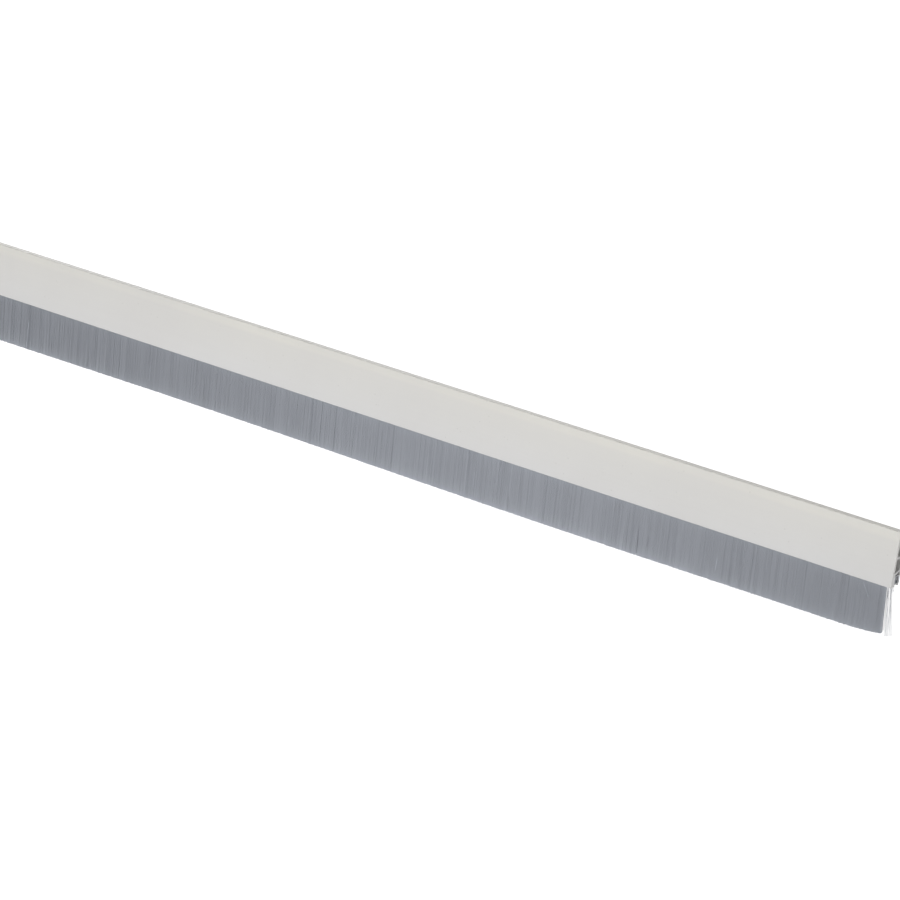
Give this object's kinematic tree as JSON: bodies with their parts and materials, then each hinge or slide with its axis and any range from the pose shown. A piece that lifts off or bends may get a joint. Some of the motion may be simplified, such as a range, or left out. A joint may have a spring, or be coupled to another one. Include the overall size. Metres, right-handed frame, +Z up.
{
  "type": "door draught strip",
  "caption": "Self-adhesive draught strip for the foot of a door: a slim hollow plastic carrier with a leaning front, holding a dense grey brush that hangs below it.",
  "frame": {"origin": "middle of the release liner's outer face, the side that goes against the door", "axes": "+X along the strip, +Y out of the back towards the door, +Z up; the bristles point down"},
  "size_m": [1, 0.0075, 0.0458],
  "materials": {
    "white_pvc": "off-white rigid PVC, satin, with faint extrusion lines",
    "galvanised_steel": "thin galvanised steel strip, rolled",
    "steel_wire": "drawn bright wire",
    "grey_bristle": "dense grey synthetic bristles",
    "foam_tape": "white closed-cell foam",
    "liner_paper": "waxed yellow paper"
  },
  "bodies": {
    "root": {"carrier": "white_pvc", "brush_spine": "galvanised_steel", "core_wire": "steel_wire", "bristles": "grey_bristle", "adhesive_tape": "foam_tape", "release_liner": "liner_paper"}
  },
  "joints": []
}
